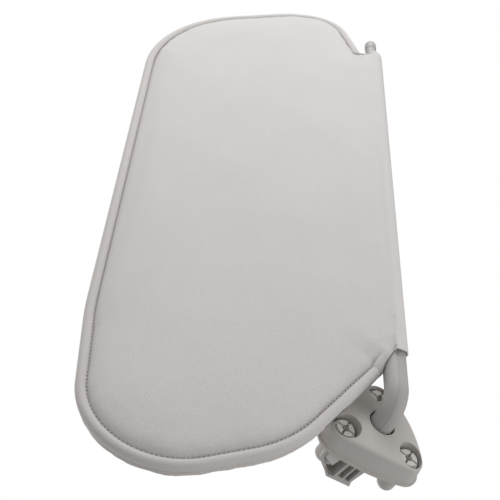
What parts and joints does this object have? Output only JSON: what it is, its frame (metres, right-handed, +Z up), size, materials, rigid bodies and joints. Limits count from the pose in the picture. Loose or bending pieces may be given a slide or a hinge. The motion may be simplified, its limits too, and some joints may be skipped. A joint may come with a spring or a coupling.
{
  "type": "sun visor",
  "caption": "Padded cloth-covered car sun visor on an elbow arm, with a rounded triangular roof bracket and a clip pin at its inboard end.",
  "frame": {"origin": "where the arm's swing axis meets the roof, in the plane of the bracket's rim", "axes": "+Z up into the roof along the swing axis, +X inboard along the pivot rod at rest, +Y forward to the windscreen"},
  "size_m": [0.45, 0.1815, 0.0724],
  "materials": {
    "cloth": "warm light grey warp-knitted cloth, matt, fine horizontal courses",
    "grey_plastic": "moulded ABS, fine spark texture, satin",
    "arm_plastic": "moulded acetal over steel, smooth satin",
    "pale_plastic": "natural acetal, satin",
    "pin_plastic": "moulded acetal, satin",
    "bearing_plastic": "natural acetal bearing grade",
    "core_plastic": "talc-filled polypropylene, as moulded",
    "foam": "thin polyurethane foam",
    "spring_steel": "hardened strip, oiled",
    "rod_steel": "drawn steel, zinc plated"
  },
  "bodies": {
    "bracket": {"bezel": "grey_plastic", "base": "grey_plastic", "roof_latch": "pale_plastic", "fixing_plugs": "pale_plastic", "swing_bush": "bearing_plastic", "swing_spring": "spring_steel", "swing_washer": "spring_steel"},
    "arm": {"elbow_sleeve": "arm_plastic", "retaining_ring": "spring_steel", "pivot_rod": "rod_steel"},
    "panel": {"core_front": "core_plastic", "core_back": "core_plastic", "foam_front": "foam", "cover_front": "cloth", "cover_back": "cloth", "edge_piping": "cloth", "bush_outboard": "bearing_plastic", "bush_inboard": "bearing_plastic", "clip_carrier": "core_plastic", "detent_spring": "spring_steel", "carrier_screws": "rod_steel", "pin_holder": "core_plastic", "clip_pin": "pin_plastic"}
  },
  "joints": [
    {"name": "arm_swing", "type": "hinge", "parent": "bracket", "child": "arm", "pos_m": [0, 0, 0], "axis": [0, 0, 1], "range_deg": [-95, 0]},
    {"name": "panel_tilt", "type": "hinge", "parent": "arm", "child": "panel", "pos_m": [0, 0, -0.0285], "axis": [1, 0, 0], "range_deg": [0, 150]}
  ]
}
